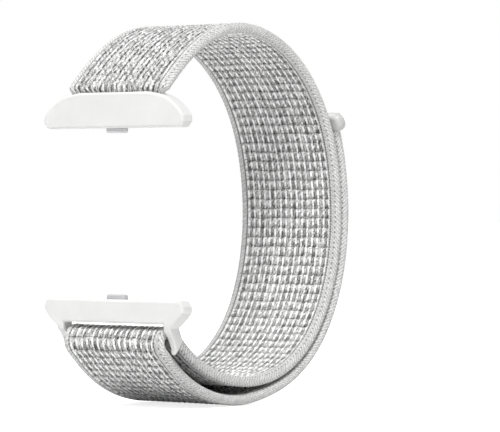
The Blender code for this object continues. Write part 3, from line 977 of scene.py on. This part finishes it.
def make_end_bar():
    """Moulded bar that grips the strip's end, in the place of the model's bar."""
    place = FLAP_END_SHARE * PATH.length - PIECE_GAP - END_BAR_HEIGHT / 2
    along = PATH.tangent(place)
    out = PATH.outward(place)
    centre = PATH.flap(place, (END_BAR_THICKNESS - STRAP_THICKNESS) / 2)
    mesh = rounded_bar(END_BAR_LENGTH, END_BAR_HEIGHT, END_BAR_THICKNESS, END_BAR_CORNER,
                       END_BAR_EDGE)
    mesh.transform(Matrix((
        (1.0, 0.0, 0.0, 0.0),
        (0.0, out[0], along[0], centre[0]),
        (0.0, out[1], along[1], centre[1]),
        (0.0, 0.0, 0.0, 1.0),
    )))
    bar = mesh_object("moulded_end", mesh, END_PLASTIC)
    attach(bar, "flap_tip")
    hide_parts("end_bar")


def tape_ground(mesh):
    """The thin ground of the hook tape, in the recess on the inside of the flap."""
    places = np.linspace(HOOK_START, HOOK_END, int((HOOK_END - HOOK_START) / TAPE_STEP))
    last = round(HOOK_WIDTH / MM / TAPE_STEP)
    widths = np.linspace(-1.0, 1.0, last + 1) * HOOK_WIDTH / MM / 2
    sheets = []
    for level in (TAPE_BOTTOM, TAPE_TOP):
        centres = RIBBON.point(places) + RIBBON.normal(places) * level * MM
        sheets.append([[mesh.verts.new((x * MM, y, z)) for x in widths] for y, z in centres])
    low, top = sheets
    for i in range(len(places) - 1):
        for j in range(last):
            mesh.faces.new((top[i][j], top[i][j + 1], top[i + 1][j + 1], top[i + 1][j]))
            mesh.faces.new((low[i + 1][j], low[i + 1][j + 1], low[i][j + 1], low[i][j]))
        for j in (0, last):
            mesh.faces.new((low[i][j], top[i][j], top[i + 1][j], low[i + 1][j]))
    for i in (0, len(places) - 1):
        for j in range(last):
            mesh.faces.new((low[i][j], low[i][j + 1], top[i][j + 1], top[i][j]))


def hook_row(mesh, row, lean, columns):
    """One row of small hooks across the tape, which all lean the same way along it."""
    levels = []
    for share, shift, half in HOOK_SECTIONS:
        place = np.array([row + lean * shift])
        level = TAPE_TOP + share * HOOK_HEIGHT
        levels.append((RIBBON.point(place)[0], RIBBON.normal(place)[0], level, half))
    for x in columns:
        rings = []
        for (y, z), (normal_y, normal_z), level, half in levels:
            middle = Vector((x * MM, y + normal_y * level * MM, z + normal_z * level * MM))
            along = Vector((0.0, normal_z, -normal_y)) * half * MM
            side = Vector((half * MM, 0.0, 0.0))
            rings.append([
                mesh.verts.new(middle + a * side + b * along)
                for a, b in ((-1, -1), (1, -1), (1, 1), (-1, 1))
            ])
        skin(mesh, rings, finish=1)


def make_hook_tape():
    """Rows of small moulded hooks on a thin ground, in a recess on the inside of the flap."""
    mesh = bmesh.new()
    tape_ground(mesh)
    half = HOOK_WIDTH / MM / 2
    rows = np.arange(HOOK_START + HOOK_PITCH, HOOK_END - HOOK_PITCH / 2, HOOK_PITCH)
    columns = np.arange(-half + HOOK_PITCH, half - HOOK_SIDE_MARGIN, HOOK_PITCH)
    for index, row in enumerate(rows):
        if index % 2:
            hook_row(mesh, row, 1, columns + HOOK_PITCH / 2)
        else:
            hook_row(mesh, row, -1, columns)
    tape = mesh_object("hook_tape", mesh, HOOK_GROUND)
    tape.data.materials.append(HOOK_TAPE)
    before, after = bend_reach(flap_place(TIP_PEEL_SHARE))
    point_on(before)
    point_on(after)
    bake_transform(tape)
    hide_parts("hook_patch")


def make_coil(label):
    """Round wire coil in the place of the model's spring, which shortens as the latch is pressed."""
    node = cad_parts[label + "_latch_spring"]
    corners = np.array([node.matrix_world @ Vector(corner) for corner in node.bound_box])
    low = corners.min(axis=0)
    high = corners.max(axis=0)
    middle = (low + high) / 2
    radius = (high[0] - low[0]) / 2 - WIRE_RADIUS
    length = high[2] - low[2]
    mesh = bmesh.new()
    rings = []
    count = COIL_TURNS * COIL_STEPS
    for step in range(count + 1):
        angle = 2 * math.pi * step / COIL_STEPS
        height = low[2] + WIRE_RADIUS + (length - 2 * WIRE_RADIUS) * step / count
        outward = Vector((math.cos(angle), math.sin(angle), 0.0))
        centre = Vector((middle[0], middle[1], height)) + outward * radius
        rings.append([
            mesh.verts.new(centre + WIRE_RADIUS * (
                outward * math.cos(turn) + Vector((0.0, 0.0, math.sin(turn)))
            ))
            for turn in np.linspace(0.0, 2 * math.pi, WIRE_SIDES + 1)[:-1]
        ])
    skin(mesh, rings, smooth=True)
    coil = mesh_object(label + "_coil", mesh, STEEL)
    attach(coil, label + "_lug")
    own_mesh(coil)
    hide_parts(label + "_latch_spring")


def dress_nodes():
    """Better materials for the solids that the scene keeps."""
    for node, finish in (
        ("upper_lug_body", LUG_PLASTIC),
        ("upper_latch_cover", LUG_PLASTIC),
        ("lower_lug_body", LUG_PLASTIC),
        ("lower_latch_cover", LUG_PLASTIC),
        ("upper_latch_button", STEEL),
        ("lower_latch_button", STEEL),
        ("strap_bar", STEEL),
    ):
        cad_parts[node].data.materials.clear()
        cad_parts[node].data.materials.append(finish)


def make_camera():
    """Level view from the photograph's side and distance, with the strap left of the middle."""
    direction = Vector(CAMERA_AIM) - Vector(CAMERA_PLACE)
    direction.normalize()
    direction = Matrix.Rotation(-CAMERA_TURN_RIGHT, 3, "Z") @ direction
    direction.z = -math.tan(CAMERA_TURN_DOWN)
    data = bpy.data.cameras.new("camera")
    data.lens = CAMERA_LENS
    data.sensor_width = 36.0
    data.clip_start = 0.01
    data.clip_end = 20.0
    camera = new_object("camera", data)
    camera.location = CAMERA_PLACE
    camera.rotation_mode = "QUATERNION"
    camera.rotation_quaternion = direction.to_track_quat("-Z", "Y")
    bpy.context.scene.camera = camera


def make_lamp(name, place, side, power):
    data = bpy.data.lights.new(name, "AREA")
    data.shape = "SQUARE"
    data.size = side
    data.energy = power
    lamp = new_object(name, data)
    lamp.location = place
    lamp.rotation_mode = "QUATERNION"
    lamp.rotation_quaternion = (Vector(LAMP_AIM) - Vector(place)).to_track_quat("-Z", "Y")


def make_floor():
    """A wide white floor, with a glow of its own that only the camera sees."""
    nodes = Nodes("floor")
    path = nodes.add("ShaderNodeLightPath")
    nodes.shade({
        "Base Color": (FLOOR_TONE, FLOOR_TONE, FLOOR_TONE, 1.0),
        "Roughness": 0.9,
        "Specular IOR Level": 0.1,
        "Emission Color": (1.0, 1.0, 1.0, 1.0),
        "Emission Strength": nodes.signal(path.outputs["Is Camera Ray"]) * FLOOR_GLOW,
    })
    level = CAD_BOX[0].z - FLOOR_DROP
    corners = [
        (x * FLOOR_REACH, y * FLOOR_REACH, level)
        for x, y in ((-1, -1), (1, -1), (1, 1), (-1, 1))
    ]
    mesh = bpy.data.meshes.new("floor")
    mesh.from_pydata(corners, [], [(0, 1, 2, 3)])
    mesh.materials.append(nodes.material)
    new_object("floor", mesh)


def make_world():
    """Dim even light from all round, which shows as plain white to the camera and in a gloss."""
    world = bpy.data.worlds.new("studio")
    bpy.context.scene.world = world
    world.use_nodes = True
    tree = world.node_tree
    tree.nodes.clear()
    path = tree.nodes.new("ShaderNodeLightPath")
    camera = Signal(tree.nodes, path.outputs["Is Camera Ray"])
    gloss = Signal(tree.nodes, path.outputs["Is Glossy Ray"])
    strength = blend(larger(camera, gloss), WORLD_LIGHT, 1.0)
    back = tree.nodes.new("ShaderNodeBackground")
    back.inputs["Color"].default_value = (1.0, 1.0, 1.0, 1.0)
    tree.links.new(strength.socket, back.inputs["Strength"])
    out = tree.nodes.new("ShaderNodeOutputWorld")
    tree.links.new(back.outputs[0], out.inputs["Surface"])


make_strip()
make_end_bar()
make_hook_tape()
make_coil("upper")
make_coil("lower")
dress_nodes()
make_camera()
make_floor()
make_world()
for lamp in LAMPS:
    make_lamp(*lamp)
bpy.context.scene.view_settings.view_transform = "Standard"
